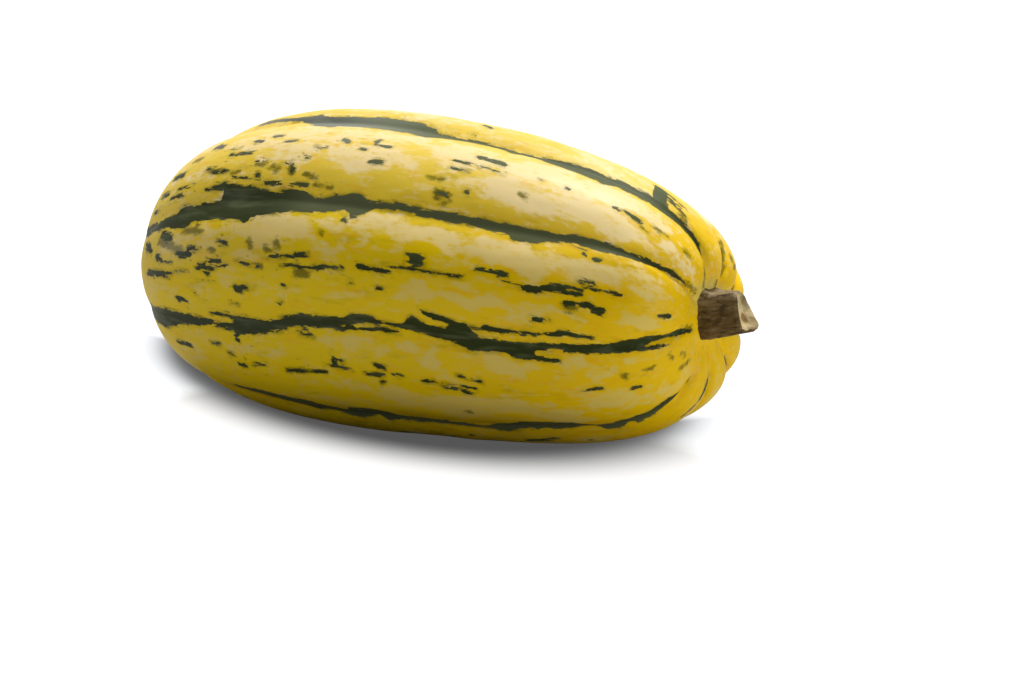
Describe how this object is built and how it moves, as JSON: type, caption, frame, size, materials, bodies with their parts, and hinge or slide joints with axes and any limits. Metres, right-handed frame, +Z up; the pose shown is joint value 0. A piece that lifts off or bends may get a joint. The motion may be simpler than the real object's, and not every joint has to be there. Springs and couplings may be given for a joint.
{
  "type": "delicata squash",
  "caption": "Whole ribbed winter squash, oblong and tapering toward its short cut stem, lying on its side on a flattened ground spot.",
  "frame": {"origin": "on the surface the squash rests on, below the middle of its bounding box", "axes": "+X along the fruit, from the blossom end to the stem; +Z up; the fruit lies on its side with the ground spot on z = 0"},
  "size_m": [0.2015, 0.0929, 0.0911],
  "materials": {
    "rind": "waxy yellow and cream rind with dark green stripes and flecks, soft gloss",
    "bark": "dry dark brown corky stem, pale tan where it is cut, matt"
  },
  "bodies": {
    "root": {"fruit": "rind", "stem": "bark"}
  },
  "joints": []
}
